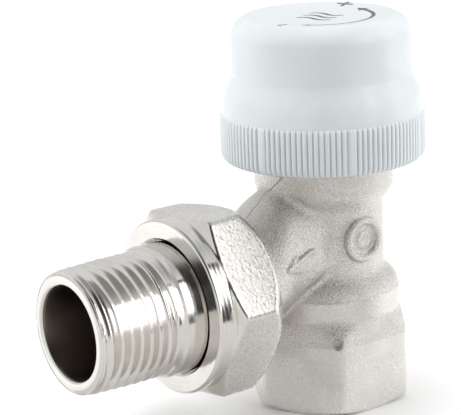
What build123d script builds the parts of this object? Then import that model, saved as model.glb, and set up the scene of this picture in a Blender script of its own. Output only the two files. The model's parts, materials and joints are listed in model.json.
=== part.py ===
from build123d import *
import os
from math import cos, pi, radians, sin, sqrt

# Angle radiator valve, 1/2 inch: pipe socket below, union tail to the side,
# screw-down cap on top. Millimetres. The origin is the centre of the pipe
# socket's face, +Z runs up the spindle, and the tail points along -X.

# ---- overall sizes ----
outlet_height = 23.0        # socket face to the outlet axis
tail_reach = 53.0           # spindle axis to the tail's end
cap_top = 67.3              # socket face to the cap's crown

# ---- fits ----
thread_gap = 0.06           # radial, between two mating threads' plain cylinders
slide_gap = 0.05            # radial, a part that slides or turns in a bore
snug_gap = 0.02             # radial, a part that is pushed home and stays
seal_gap = 0.05             # what is left open where a seal closes
ring_gap = 0.015            # radial, between an O-ring and its groove's floor

# ---- inlet socket, hexagon and seat ----
socket_r = 9.32             # Rp 1/2 minor radius
socket_depth = 12.0
base_flats = 25.4
base_corner_top = 13.3      # where the corners of the base hexagon end
base_foot_chamfer = 1.0
base_round_r = 12.73        # round stretch above the hexagon
base_round_z = 16.3
base_round_top = 19.8
approach_r = 7.0            # waterway below the seat
approach_top = 14.2
orifice_r = 5.5
orifice_cone = 1.0
seat_land = 0.8
seat_rise = 1.2             # seat ring above the chamber's floor
seat_z = 17.2

# ---- neck, collar and head of the body ----
neck_r = 10.15
neck_z = 24.0
collar_r = 11.95
collar_z = 38.2
collar_flare = 3.2          # height of the flare under the collar
head_r = 15.0               # M30 x 1.5
head_z = 44.5
head_top = 50.5
head_chamfer = 0.75
chamber_r = 7.8
chamber_top = 36.4
shank_bore_r = 9.06
shank_bore_z = 37.2
insert_thread_r = 11.0
insert_thread_z = 45.3

# ---- branch of the body and its union thread ----
branch_r = 11.3
branch_end = 20.6
union_thread_r = 13.22      # G 3/4 major radius
union_thread_depth = 1.16
union_thread_start = 21.2
union_face = 29.0
branch_water_step = 1.3     # the branch's waterway is this much narrower than the chamber
branch_water_r = chamber_r - branch_water_step
branch_water_end = 15.0
outlet_r = 7.55
outlet_cone = 2.0
nose_bore_wall = 2.92       # from the union thread's crest to the bore for the tail's nose
nose_bore_r = union_thread_r - nose_bore_wall
nose_bore_depth = 4.4
gusset_half_width = 6.5
gusset_reach = 17.5
medallion_r = 3.85
medallion_z = 29.9
medallion_proud = 0.35
arrow_x = 13.5
arrow_angle = 30.0          # above the horizontal, round the branch
arrow_length = 7.5
arrow_width = 1.0
arrow_head = 2.6
arrow_proud = 0.4

# ---- spindle and plug, all open ----
lift = 2.4                  # travel of the plug from open to shut
pin_r = 2.0
spindle_end_r = 1.7
holder_gap = 0.6            # radial, between the plug and the chamber
holder_r = chamber_r - holder_gap
holder_lip = 0.6            # wall of the holder round the seat washer
washer_r = holder_r - holder_lip
washer_h = 2.5
holder_web = 1.5
holder_rim = 1.25
hub_r = 3.2
hub_h = 1.85
plug_nut_flats = 5.5
plug_nut_h = 1.6
spindle_tail = 0.15         # of the spindle, left showing under the plug nut
washer_foot = seat_z + lift + seal_gap
holder_foot = washer_foot + washer_h
hub_top = holder_foot + holder_web + hub_h

# ---- headwork ----
nose_foot = 31.0
nose_taper = 1.0            # height of the taper from the nose to the shank
shank_gap = 0.11
thread_relief = 0.3
housing_hex = 22.0
housing_hex_h = 3.5
housing_neck_r = 7.5
housing_neck_h = 1.5
housing_shoulder = head_top + housing_hex_h
housing_top = housing_shoulder + housing_neck_h
spring_bore_r = 5.2
web_depth = 4.4             # below the body's head
web_h = 1.5
web_z = head_top - web_depth
pocket_foot = web_z + web_h
pocket_r = 4.1
pocket_h = 2.7
gland_thread_r = 5.0
gland_relief_r = 4.6
gland_relief_h = 0.4
gland_groove_r = 5.9
gland_groove_h = 1.3
gland_hex = 11.0
gland_hex_h = 1.7
gland_top = housing_top + gland_hex_h
gland_washer_h = 0.5
stem_ring_r = 0.95
gland_ring_r = 0.6
nose_ring_r = 0.60
nose_ring_up = 3.0          # above the nose's foot
nose_groove_w = 1.4
nose_groove_depth = 1.2
guide_flange_gap = 1.0      # radial, between the guide's flange and the chamber
guide_flange_h = 0.8
guide_h = 2.4
guide_play = 0.03
retainer_r = 4.8
retainer_h = 0.8
circlip_r = 3.2
circlip_h = 0.6
circlip_groove_r = 1.6
circlip_mouth = 1.9
circlip_stop = 0.5          # between the circlip and the web, all open
circlip_z = web_z - circlip_stop - circlip_h
spindle_head = 1.0          # of the spindle, above the circlip's seat
pin_foot = circlip_z + spindle_head
pin_spare = 0.2             # of the push pin, still above the gland nut when shut
pin_top = gland_top + lift + pin_spare
pin_tip = 0.5
wire_r = 0.45
coil_r = 3.9
coil_turns = 5

# ---- cap ----
cap_skirt_below = 1.5       # the rim hangs this far below the body's head
cap_rim = head_z - cap_skirt_below
cap_rim_round = 1.2
cap_bore_gap = 0.07
cap_bore_r = head_r + cap_bore_gap
cap_skirt_wall = 2.13
cap_skirt_r = cap_bore_r + cap_skirt_wall
cap_rib_proud = 0.35
cap_rib_z = cap_rim + 1.3
cap_rib_h = 6.5
cap_rib_pitch = 3.06        # degrees from one rib to the next
cap_rib_count = 15          # ribs in a group
cap_groups = 7
cap_group_turn = 3.2        # degrees, sets where the first smooth pad stands
cap_shoulder_z = cap_rim + 10.4
cap_shoulder_r = cap_skirt_r - 0.3
cap_wall_z = cap_rim + 14.5
cap_wall_r = cap_skirt_r - 1.75
cap_crown_r = cap_skirt_r - 1.9
cap_crown_round = 3.2
cap_head_room = 0.5         # above the body's head, shut
cap_bore_top = head_top + lift + cap_head_room
cap_upper_wall = 1.9
cap_inner_r = cap_crown_r - cap_upper_wall
cap_top_wall = 2.5
cap_boss_r = 4.5
disc_r = 3.5
disc_h = 1.65
disc_spigot_r = 1.5
disc_spigot_h = 2.0

# ---- union tail, laid out along the outlet axis ----
tail_nose_gap = 0.15
tail_nose_r = nose_bore_r - tail_nose_gap
tail_nose_back = 0.3        # the nose stops short of its bore's floor
tail_nose_start = union_face - nose_bore_depth + tail_nose_back
tail_ring_r = 0.65
tail_ring_in = 1.85         # O-ring's centre, from the nose's end
tail_ring_t = tail_nose_start + tail_ring_in
tail_groove_w = 1.5
tail_groove_depth = 1.23
tail_groove_r = tail_nose_r - tail_groove_depth
tail_flange_gap = 0.11
tail_flange_r = union_thread_r - union_thread_depth - tail_flange_gap
tail_flange_h = 1.95
tail_flange_start = union_face + seal_gap
tail_flange_end = tail_flange_start + tail_flange_h
tail_shank_r = 11.0
tail_thread_r = 10.48       # R 1/2 nominal
tail_thread_length = 14.4
tail_mouth_chamfer = 0.6
tail_mouth_r = 9.7
tail_thread_end = tail_reach - tail_mouth_chamfer
tail_thread_start = tail_thread_end - tail_thread_length
tail_thread_relief = 0.5

# ---- union nut ----
nut_wall = 1.47             # from the nut's thread to its flats
nut_bore_r = union_thread_r + thread_gap
nut_flats = 2 * (nut_bore_r + nut_wall)
nut_start = union_thread_start + 0.3
nut_corner_start = nut_start + 2.5
nut_corner_end = tail_flange_end - 0.9
nut_boss_h = 2.7
nut_front = tail_flange_end + nut_boss_h
nut_rear_r = nut_bore_r + 1.72
nut_boss_r = nut_bore_r + 1.34
nut_lip_gap = 0.3
nut_lip_r = tail_shank_r + nut_lip_gap
nut_turn_at_rest = 34.33    # degrees of one hexagon corner from straight up
nut_edge = 0.4


# ---- shared shapes ----
def turned(points):
    """A solid turned about Z from (radius, height) points."""
    outline = Polyline(*[(r, 0, z) for r, z in points], close=True)
    return revolve(make_face(outline), Axis.Z)


def rod(r, low, high):
    return Pos(0, 0, low) * Cylinder(r, high - low, align=(Align.CENTER, Align.CENTER, Align.MIN))


def tube(outer, inner, low, high):
    return rod(outer, low, high) - rod(inner, low, high)


def hexagon(flats, low, high, turn=0.0):
    corner = flats / sqrt(3)
    face = Rot(0, 0, turn) * RegularPolygon(corner, 6)
    return Pos(0, 0, low) * extrude(face, high - low)


def o_ring(centre_r, section_r, height):
    return Pos(0, 0, height) * Torus(centre_r, section_r)


def on_outlet(solid):
    """Lay a solid made about Z on the outlet axis, with its +Z towards the tail's end."""
    return Pos(0, 0, outlet_height) * Rot(0, -90, 0) * solid


def save(node, solid):
    solid.label = node
    export_step(solid, f"parts/{node}.step")


# ---- body ----
def base_block():
    corner = base_flats / sqrt(3)
    foot_r = corner - 2 * base_foot_chamfer
    envelope = turned([
        (0, 0), (foot_r, 0), (corner, base_foot_chamfer), (corner, base_corner_top),
        (base_round_r, base_round_z), (0, base_round_z),
    ])
    return hexagon(base_flats, 0, base_round_z) & envelope


def upper_body():
    return turned([
        (0, socket_depth), (base_round_r - 1, socket_depth), (base_round_r, base_round_z),
        (base_round_r, base_round_top), (neck_r, neck_z), (neck_r, collar_z - collar_flare),
        (collar_r, collar_z), (collar_r, head_z), (head_r - head_chamfer, head_z),
        (head_r, head_z + head_chamfer), (head_r, head_top - head_chamfer),
        (head_r - head_chamfer, head_top), (0, head_top),
    ])


def gusset():
    crest = collar_z - outlet_height
    hood = on_outlet(turned([(0, 0), (crest, 0), (crest, collar_r), (branch_r, gusset_reach), (0, gusset_reach)]))
    slab = Box(gusset_reach, 2 * gusset_half_width, crest, align=(Align.MAX, Align.CENTER, Align.MIN))
    return hood & (Pos(0, 0, outlet_height) * slab)


def medallion():
    reach = neck_r + medallion_proud
    disc = Pos(0, 0, chamber_r + 1) * Cylinder(
        medallion_r, reach - chamber_r - 1, align=(Align.CENTER, Align.CENTER, Align.MIN)
    )
    return Pos(0, 0, medallion_z) * Rot(90, 0, 0) * disc


def flow_arrow():
    depth = 1.5
    stem = Box(arrow_length, arrow_width, depth)
    half = arrow_head / 2
    tip = make_face(Polyline((0, half, 0), (0, -half, 0), (-arrow_head, 0, 0), close=True))
    head = Pos(-arrow_length / 2, 0, -depth / 2) * extrude(tip, depth)
    face_height = branch_r + arrow_proud - depth / 2
    turn = Rot(90 - arrow_angle, 0, 0)
    return Pos(-arrow_x, 0, outlet_height) * turn * Pos(0, 0, face_height) * (stem + head)


def spindle_bore():
    floor_z = seat_z - seat_rise
    return turned([
        (0, -1), (socket_r, -1), (socket_r, socket_depth), (approach_r, socket_depth),
        (approach_r, approach_top), (orifice_r, approach_top + orifice_cone), (orifice_r, seat_z),
        (orifice_r + seat_land, seat_z), (orifice_r + 2 * seat_land, floor_z), (chamber_r, floor_z),
        (chamber_r, chamber_top), (shank_bore_r, shank_bore_z), (shank_bore_r, insert_thread_z),
        (insert_thread_r + thread_gap, insert_thread_z), (insert_thread_r + thread_gap, head_top + 1),
        (0, head_top + 1),
    ])


def outlet_bore():
    nose_floor = union_face - nose_bore_depth
    return turned([
        (0, 0), (branch_water_r, 0), (branch_water_r, branch_water_end),
        (outlet_r, branch_water_end + outlet_cone), (outlet_r, nose_floor), (nose_bore_r, nose_floor),
        (nose_bore_r, union_face + 1), (0, union_face + 1),
    ])


def seat_ring():
    """The ring that stands round the orifice, put back after the outlet is bored."""
    floor_z = seat_z - seat_rise
    return turned([
        (orifice_r, approach_top + orifice_cone), (orifice_r, seat_z), (orifice_r + seat_land, seat_z),
        (orifice_r + 2 * seat_land, floor_z), (orifice_r + 2 * seat_land, approach_top + orifice_cone),
    ])


def valve_body():
    branch = turned([
        (0, 0), (branch_r, 0), (branch_r, branch_end), (union_thread_r - 1, union_thread_start),
        (union_thread_r, union_thread_start + 1), (union_thread_r, union_face - 1),
        (union_thread_r - 1, union_face), (0, union_face),
    ])
    shell = base_block() + upper_body() + on_outlet(branch) + gusset() + medallion() + flow_arrow()
    return shell - spindle_bore() - on_outlet(outlet_bore()) + seat_ring()


# ---- headwork ----
def headwork_housing():
    nose_r = chamber_r - slide_gap
    shank_r = shank_bore_r - shank_gap
    groove_low = nose_foot + nose_ring_up - nose_groove_w / 2
    groove_high = groove_low + nose_groove_w
    groove_r = nose_r - nose_groove_depth
    taper_foot = chamber_top + slide_gap
    thread_foot = insert_thread_z + thread_relief
    outside = turned([
        (0, nose_foot), (nose_r, nose_foot), (nose_r, groove_low), (groove_r, groove_low),
        (groove_r, groove_high), (nose_r, groove_high), (nose_r, taper_foot),
        (shank_r, taper_foot + nose_taper), (shank_r, thread_foot),
        (insert_thread_r, thread_foot), (insert_thread_r, head_top), (0, head_top),
    ])
    outside += hexagon(housing_hex, head_top, housing_shoulder)
    outside += rod(housing_neck_r, housing_shoulder, housing_top)
    pocket_top = pocket_foot + pocket_h
    groove_foot = housing_top - gland_groove_h
    gland_bore_r = gland_thread_r + thread_gap
    inside = turned([
        (0, nose_foot - 1), (spring_bore_r, nose_foot - 1), (spring_bore_r, web_z),
        (pin_r + slide_gap, web_z), (pin_r + slide_gap, pocket_foot), (pocket_r, pocket_foot),
        (pocket_r, pocket_top), (gland_bore_r, pocket_top), (gland_bore_r, groove_foot),
        (gland_groove_r, groove_foot), (gland_groove_r, housing_top + 1), (0, housing_top + 1),
    ])
    return outside - inside


def headwork_oring():
    floor_r = chamber_r - slide_gap - nose_groove_depth
    return o_ring(floor_r + ring_gap + nose_ring_r, nose_ring_r, nose_foot + nose_ring_up)


def lower_guide():
    flange = rod(chamber_r - guide_flange_gap, nose_foot - guide_flange_h, nose_foot)
    plug = rod(spring_bore_r - guide_play, nose_foot, nose_foot + guide_h)
    bore = rod(pin_r + slide_gap, nose_foot - guide_flange_h, nose_foot + guide_h)
    return flange + plug - bore


def gland_washer():
    return tube(pocket_r - slide_gap, pin_r + slide_gap, pocket_foot, pocket_foot + gland_washer_h)


def stem_oring():
    height = pocket_foot + gland_washer_h + seal_gap + stem_ring_r
    return o_ring(pin_r + ring_gap + stem_ring_r, stem_ring_r, height)


def gland_nut():
    foot = pocket_foot + pocket_h + slide_gap
    relief = housing_top - gland_groove_h - gland_relief_h
    shank = rod(gland_thread_r, foot, relief) + rod(gland_relief_r, relief, housing_top)
    head = hexagon(gland_hex, housing_top, gland_top, 30)
    return shank + head - rod(pin_r + slide_gap, foot - 1, gland_top + 1)


def gland_nut_oring():
    height = housing_top - gland_groove_h / 2
    return o_ring((gland_relief_r + gland_groove_r) / 2, gland_ring_r, height)


def return_spring():
    low = nose_foot + guide_h + wire_r
    high = circlip_z - retainer_h - wire_r
    path = Helix((high - low) / coil_turns, high - low, coil_r)
    section = Plane(path @ 0, z_dir=path % 0) * Circle(wire_r)
    return Pos(0, 0, low) * sweep(section, path=path, is_frenet=True)


# ---- spindle and plug ----
def seat_washer():
    return tube(washer_r, spindle_end_r + snug_gap, washer_foot, holder_foot)


def plug_holder():
    rim_foot = holder_foot - holder_rim
    web_top = holder_foot + holder_web
    disc = rod(holder_r, rim_foot, web_top) - rod(washer_r + slide_gap, rim_foot, holder_foot)
    hub = rod(hub_r, web_top, hub_top)
    return disc + hub - rod(spindle_end_r + snug_gap, rim_foot, hub_top)


def plug_nut():
    low = washer_foot - plug_nut_h
    return hexagon(plug_nut_flats, low, washer_foot) - rod(spindle_end_r + snug_gap, low - 1, washer_foot + 1)


def spindle():
    groove_top = circlip_z + circlip_h + snug_gap
    spindle_foot = washer_foot - plug_nut_h - spindle_tail
    return turned([
        (0, spindle_foot), (spindle_end_r, spindle_foot), (spindle_end_r, hub_top), (pin_r, hub_top),
        (pin_r, circlip_z), (circlip_groove_r, circlip_z), (circlip_groove_r, groove_top),
        (pin_r, groove_top), (pin_r, pin_foot), (0, pin_foot),
    ])


def spring_retainer():
    return tube(retainer_r, pin_r + snug_gap, circlip_z - retainer_h, circlip_z)


def retainer_circlip():
    ring = tube(circlip_r, circlip_groove_r + snug_gap, circlip_z, circlip_z + circlip_h)
    mouth = Pos(circlip_r, 0, circlip_z + circlip_h / 2) * Box(2 * circlip_r, circlip_mouth, 2 * circlip_h)
    return ring - mouth


def push_pin():
    return turned([
        (0, pin_foot), (pin_r, pin_foot), (pin_r, pin_top - pin_tip), (pin_r - pin_tip, pin_top), (0, pin_top),
    ])


# ---- cap ----
def rib_ring():
    """The ribbed band's section, drawn once round: ribs in groups, with a smooth pad between groups."""
    points = []
    group_angle = 360 / cap_groups
    rib_r = cap_skirt_r + cap_rib_proud
    pad = group_angle - cap_rib_count * cap_rib_pitch
    for group in range(cap_groups):
        start = group * group_angle + cap_group_turn
        spots = [(rib_r, start), (rib_r, start + pad)]
        for rib in range(cap_rib_count):
            edge = start + pad + rib * cap_rib_pitch
            spots += [(cap_skirt_r, edge + 0.15 * cap_rib_pitch), (cap_skirt_r, edge + 0.45 * cap_rib_pitch)]
            if rib < cap_rib_count - 1:
                spots += [(rib_r, edge + 0.65 * cap_rib_pitch), (rib_r, edge + 0.95 * cap_rib_pitch)]
        points += [(r * cos(radians(a)), r * sin(radians(a))) for r, a in spots]
    return make_face(Polyline(*points, close=True))


def cap_outside():
    round_z = cap_top - cap_crown_round
    flat_r = cap_crown_r - cap_crown_round
    bend = cap_crown_round * sin(pi / 4)
    lip_r = cap_skirt_r - cap_rim_round
    outline = Polyline(
        (0, 0, cap_top), (0, 0, cap_rim), (lip_r, 0, cap_rim), (cap_skirt_r, 0, cap_rim + cap_rim_round),
        (cap_skirt_r, 0, cap_rib_z + cap_rib_h), (cap_shoulder_r, 0, cap_shoulder_z),
    )
    shoulder = Line((cap_shoulder_r, 0, cap_shoulder_z), (cap_wall_r, 0, cap_wall_z))
    wall = Line((cap_wall_r, 0, cap_wall_z), (cap_crown_r, 0, round_z))
    crown = ThreePointArc((cap_crown_r, 0, round_z), (flat_r + bend, 0, round_z + bend), (flat_r, 0, cap_top))
    lid = Line((flat_r, 0, cap_top), (0, 0, cap_top))
    return revolve(make_face([outline, shoulder, wall, crown, lid]), Axis.Z)


def cap_shell():
    band = Pos(0, 0, cap_rib_z) * extrude(rib_ring(), cap_rib_h)
    ceiling = cap_top - cap_top_wall
    inside = turned([
        (0, cap_rim - 1), (cap_bore_r, cap_rim - 1), (cap_bore_r, cap_bore_top),
        (cap_inner_r, cap_bore_top + 1), (cap_inner_r, ceiling - 1), (cap_inner_r - 1, ceiling), (0, ceiling),
    ])
    boss_foot = pin_top + seal_gap + disc_h
    socket = rod(disc_spigot_r + snug_gap, boss_foot, boss_foot + disc_spigot_h)
    return cap_outside() + band - inside + rod(cap_boss_r, boss_foot, ceiling) - socket


def cap_thrust_disc():
    low = pin_top + seal_gap
    return rod(disc_r, low, low + disc_h) + rod(disc_spigot_r, low + disc_h, low + disc_h + disc_spigot_h)


# ---- union ----
def union_oring():
    return on_outlet(o_ring(tail_groove_r + ring_gap + tail_ring_r, tail_ring_r, tail_ring_t))


def tailpiece():
    groove_low = tail_ring_t - tail_groove_w / 2
    groove_high = tail_ring_t + tail_groove_w / 2
    outside = turned([
        (outlet_r, tail_nose_start), (tail_nose_r, tail_nose_start), (tail_nose_r, groove_low),
        (tail_groove_r, groove_low), (tail_groove_r, groove_high), (tail_nose_r, groove_high),
        (tail_nose_r, tail_flange_start), (tail_flange_r, tail_flange_start), (tail_flange_r, tail_flange_end),
        (tail_shank_r, tail_flange_end), (tail_shank_r, tail_thread_start - tail_thread_relief),
        (tail_thread_r, tail_thread_start), (tail_thread_r, tail_thread_end),
        (tail_mouth_r, tail_reach), (outlet_r, tail_reach),
    ])
    return on_outlet(outside)


def union_nut():
    corner = nut_flats / sqrt(3)
    envelope = turned([
        (0, nut_start), (nut_rear_r, nut_start), (corner, nut_corner_start), (corner, nut_corner_end),
        (nut_boss_r, tail_flange_end), (0, tail_flange_end),
    ])
    block = hexagon(nut_flats, nut_start, tail_flange_end, nut_turn_at_rest) & envelope
    boss = turned([
        (0, tail_flange_end), (nut_boss_r, tail_flange_end), (nut_boss_r, nut_front - nut_edge),
        (nut_boss_r - nut_edge, nut_front), (0, nut_front),
    ])
    lip_start = tail_flange_end + seal_gap
    inside = turned([
        (0, nut_start - 1), (nut_bore_r, nut_start - 1), (nut_bore_r, lip_start),
        (nut_lip_r, lip_start), (nut_lip_r, nut_front + 1), (0, nut_front + 1),
    ])
    return on_outlet(block + boss - inside)


pieces = {
    "valve_body": valve_body,
    "headwork_housing": headwork_housing,
    "headwork_oring": headwork_oring,
    "lower_guide": lower_guide,
    "gland_washer": gland_washer,
    "stem_oring": stem_oring,
    "gland_nut": gland_nut,
    "gland_nut_oring": gland_nut_oring,
    "return_spring": return_spring,
    "spindle": spindle,
    "push_pin": push_pin,
    "spring_retainer": spring_retainer,
    "retainer_circlip": retainer_circlip,
    "plug_holder": plug_holder,
    "seat_washer": seat_washer,
    "plug_nut": plug_nut,
    "cap_shell": cap_shell,
    "cap_thrust_disc": cap_thrust_disc,
    "union_oring": union_oring,
    "tailpiece": tailpiece,
    "union_nut": union_nut,
}

os.makedirs("parts", exist_ok=True)
for name, make in pieces.items():
    save(name, make())
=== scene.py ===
"""Builds the looks of an angle radiator valve, with cap, union nut and tailpiece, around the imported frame."""

import json
import math

import bmesh
import bpy
import numpy as np
from mathutils import Matrix, Vector


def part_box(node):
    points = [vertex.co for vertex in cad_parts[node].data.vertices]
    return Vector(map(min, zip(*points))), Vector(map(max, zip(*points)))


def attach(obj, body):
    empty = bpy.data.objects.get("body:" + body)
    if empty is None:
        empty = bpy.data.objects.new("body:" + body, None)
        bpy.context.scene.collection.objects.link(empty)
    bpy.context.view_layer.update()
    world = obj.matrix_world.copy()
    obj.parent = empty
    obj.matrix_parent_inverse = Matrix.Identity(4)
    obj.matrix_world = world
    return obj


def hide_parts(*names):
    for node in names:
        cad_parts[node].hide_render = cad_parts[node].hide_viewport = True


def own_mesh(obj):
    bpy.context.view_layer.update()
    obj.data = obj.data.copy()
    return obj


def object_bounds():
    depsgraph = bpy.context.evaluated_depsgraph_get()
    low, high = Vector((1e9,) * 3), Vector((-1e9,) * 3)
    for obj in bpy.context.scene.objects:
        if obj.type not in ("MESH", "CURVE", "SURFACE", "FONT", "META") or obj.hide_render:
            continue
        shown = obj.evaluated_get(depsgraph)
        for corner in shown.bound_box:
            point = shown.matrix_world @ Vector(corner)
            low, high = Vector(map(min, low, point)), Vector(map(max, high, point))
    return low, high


bl_info = {
    "name": "Radiator valve",
    "version": (1, 0, 0),
    "blender": (4, 5, 0),
    "location": "3D View > Sidebar > Valve",
    "description": "Builds a forged angle radiator valve with a ribbed plastic cap",
    "category": "Add Mesh",
}

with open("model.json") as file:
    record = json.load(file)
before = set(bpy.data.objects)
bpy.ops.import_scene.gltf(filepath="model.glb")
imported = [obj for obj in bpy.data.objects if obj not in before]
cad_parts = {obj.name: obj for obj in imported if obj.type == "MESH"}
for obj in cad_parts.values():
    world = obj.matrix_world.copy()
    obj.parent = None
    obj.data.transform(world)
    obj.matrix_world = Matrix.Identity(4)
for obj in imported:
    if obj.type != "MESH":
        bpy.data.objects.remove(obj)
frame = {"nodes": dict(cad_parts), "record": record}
CAD_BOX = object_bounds()
MM = 0.001
UP_AXIS = Matrix.Identity(4)

# Lengths in millimetres, and the nut's turn in degrees; a thread's size is its major radius.
PIPE_PITCH = 1.8143
CAP_PITCH = 1.5
UNION_START = 21.5
HEAD_START = 44.5
SOCKET_THREAD_R = 10.48
UNION_THREAD_R = 13.22
NUT_THREAD_R = 13.28
CAP_THREAD_R = 15.07
FOOT_FLATS = 25.4
BAND_R = 12.73
BAND_TOP = 20.1
SHOULDER_R = 12.62
SHOULDER_TOP = 23.1
SHOULDER_BEND = 3.3
NECK_R = 10.15
COLLAR_STEP = 1.8
EMBLEM_HEIGHT = 29.9
EMBLEM_DEPTH = 10.2
CHAMBER_R = 7.8
NUT_FLATS = 29.5
NUT_TURN = 25.67
NUT_CORNER_R = 17.03
NUT_BOSS_R = 14.62
TAIL_NOSE_R = 10.15
TAIL_THREAD_R = 10.48
TAIL_BORE_R = 7.7
CAP_GRIP_R = 17.2
CAP_CORNER_BEND = 3.3
PRINT_RING_R = 9
# How far the crown dips below its highest ring, in millimetres: radius and dip.
CROWN_DISH = ((0, 0.45), (5, 0.44), (8, 0.38), (9.5, 0.27), (10.5, 0.17), (11.2, 0.08), (12.0, 0.0))
# Flow arrow on the branch, in millimetres: its end, its tip and its two barbs.
ARROW = ((-10.1, -8.7, 29.6), (-16.1, -10.1, 27.7), (-14.0, -9.2, 29.2), (-13.0, -9.1, 26.9))


def cad_box(node):
    """Low and high corner of a CAD node, in millimetres."""
    return [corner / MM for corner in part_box(node)]


def outlet_height():
    """Height of the union's axis in millimetres, from the tailpiece's own box."""
    low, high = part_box("tailpiece")
    return (low.z + high.z) / 2 / MM


def outlet_axis():
    """Turns a piece made along +Z to lie along the outlet, which points to -X."""
    turn = Matrix(((0, 0, -1, 0), (0, 1, 0, 0), (1, 0, 0, 0), (0, 0, 0, 1)))
    return Matrix.Translation((0, 0, outlet_height() * MM)) @ turn


# ---- sizes and colours


def colour_setting(name, description, default):
    """A colour that a user may change."""
    return bpy.props.FloatVectorProperty(
        name=name, description=description, subtype="COLOR", default=default, min=0, max=1
    )


class ForgingSettings(bpy.types.PropertyGroup):
    """Shape and skin of the forged body and nut."""

    grid: bpy.props.FloatProperty(
        name="Grid",
        description="Distance between the points that the forged skins are built on",
        default=0.25 * MM, min=0.1 * MM, unit="LENGTH", precision=5,
    )
    grain: bpy.props.FloatProperty(
        name="Grain",
        description="Size of one grain of the blasted skin",
        default=0.20 * MM, unit="LENGTH", precision=5,
    )
    colour: colour_setting("Nickel", "Colour of the nickel plate", (0.81, 0.79, 0.76))
    shade_colour: colour_setting("Dull nickel", "Colour of the nickel in its hollows", (0.36, 0.33, 0.29))


class ThreadSettings(bpy.types.PropertyGroup):
    """Fineness of the cut threads."""

    columns: bpy.props.IntProperty(
        name="Columns",
        description="Faces round one turn of a thread",
        default=160, min=24, max=720,
    )
    crest: bpy.props.FloatProperty(
        name="Crest flat",
        description="Width of a thread's crest, as a share of its pitch",
        default=0.13, subtype="FACTOR", min=0.02, max=0.3,
    )
    root: bpy.props.FloatProperty(
        name="Root flat",
        description="Width of a thread's root, as a share of its pitch",
        default=0.10, subtype="FACTOR", min=0.02, max=0.3,
    )


class CapSettings(bpy.types.PropertyGroup):
    """The ribbed plastic cap."""

    colour: colour_setting("Plastic", "Colour of the moulded cap", (0.655, 0.70, 0.72))
    print_colour: colour_setting("Print", "Colour of the marks on the crown", (0.07, 0.07, 0.08))
    ribs: bpy.props.IntProperty(
        name="Ribs",
        description="Ribs in one group",
        default=15, min=3, max=40,
    )
    groups: bpy.props.IntProperty(
        name="Groups",
        description="Groups of ribs round the cap, with a smooth pad between them",
        default=7, min=2, max=20,
    )


class StageSettings(bpy.types.PropertyGroup):
    """Floor, light and camera."""

    floor_colour: colour_setting("Floor", "Colour of the floor", (0.94, 0.94, 0.94))
    key_power: bpy.props.FloatProperty(
        name="Key light",
        description="Power of the main softbox",
        default=2.2, subtype="POWER", min=0,
    )
    fill_power: bpy.props.FloatProperty(
        name="Fill light",
        description="Power of the side softbox",
        default=1.75, subtype="POWER", min=0,
    )
    broad_power: bpy.props.FloatProperty(
        name="Broad light",
        description="Strength of the broad light that only matt surfaces take up",
        default=1.7, min=0,
    )
    sky: bpy.props.FloatProperty(
        name="Room",
        description="Brightness of the pale room all round",
        default=0.95, min=0,
    )
    focal_length: bpy.props.FloatProperty(
        name="Focal length",
        description="Camera focal length in millimetres",
        default=144.5, min=20,
    )


# ---- making meshes


def add_object(name, data):
    """Puts a new object with its data into the scene."""
    thing = bpy.data.objects.new(name, data)
    bpy.context.scene.collection.objects.link(thing)
    return thing


def mesh_object(name, points, faces, place=UP_AXIS):
    """A closed mesh from points in millimetres, welded, with its faces turned outwards."""
    mesh = bpy.data.meshes.new(name)
    mesh.from_pydata((np.asarray(points, float) * MM).tolist(), [], faces)
    work = bmesh.new()
    work.from_mesh(mesh)
    bmesh.ops.remove_doubles(work, verts=work.verts, dist=0.0002 * MM)
    bmesh.ops.recalc_face_normals(work, faces=work.faces)
    work.to_mesh(mesh)
    work.free()
    mesh.transform(place)
    return add_object(name, mesh)


def combine(piece, other, operation):
    """Joins another closed mesh to a piece or cuts it away, and removes the other."""
    step = piece.modifiers.new(operation.title(), "BOOLEAN")
    step.operation = operation
    step.solver = "MANIFOLD"
    step.object = other
    depsgraph = bpy.context.evaluated_depsgraph_get()
    done = bpy.data.meshes.new_from_object(piece.evaluated_get(depsgraph))
    piece.modifiers.clear()
    old = piece.data
    piece.data = done
    bpy.data.meshes.remove(old)
    bpy.data.objects.remove(other)
    if not piece.data.polygons:
        raise RuntimeError(f"{piece.name} vanished in a {operation.lower()}")
    return piece


def smooth(piece, angle=32):
    """Shades a piece smooth, with creases where its faces meet more sharply than the angle."""
    piece.data.shade_smooth()
    piece.data.set_sharp_from_angle(angle=math.radians(angle))


def install(piece, body, node):
    """Puts a finished piece on its body, in place of its CAD node."""
    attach(piece, body)
    if node:
        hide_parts(node)


def paint(piece, materials, choose=None):
    """Gives a piece its materials; choose says which of them a face takes, from the faces' centres."""
    piece.data.materials.clear()
    for material in materials:
        piece.data.materials.append(material)
    if choose is None:
        return
    centres = np.empty(len(piece.data.polygons) * 3)
    piece.data.polygons.foreach_get("center", centres)
    x, y, z = centres.reshape(-1, 3).T / MM
    index = np.broadcast_to(choose(x, y, z), x.shape)
    piece.data.polygons.foreach_set("material_index", np.ascontiguousarray(index, np.int32))


# ---- turned pieces and threads


def arc(height, radius, bend, first, last, steps=8):
    """Profile points round a corner: height and radius of its centre, its bend, and two angles."""
    turns = np.radians(np.linspace(first, last, steps + 1))
    return [(height + bend * math.sin(t), radius + bend * math.cos(t)) for t in turns]


def rings(profile, columns):
    """Plain stations of a turned shape: one row of heights and radii for each profile point."""
    profile = np.asarray(profile, float)
    return [profile[:, i : i + 1].repeat(columns + 1, axis=1) for i in (0, 1)]


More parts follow.
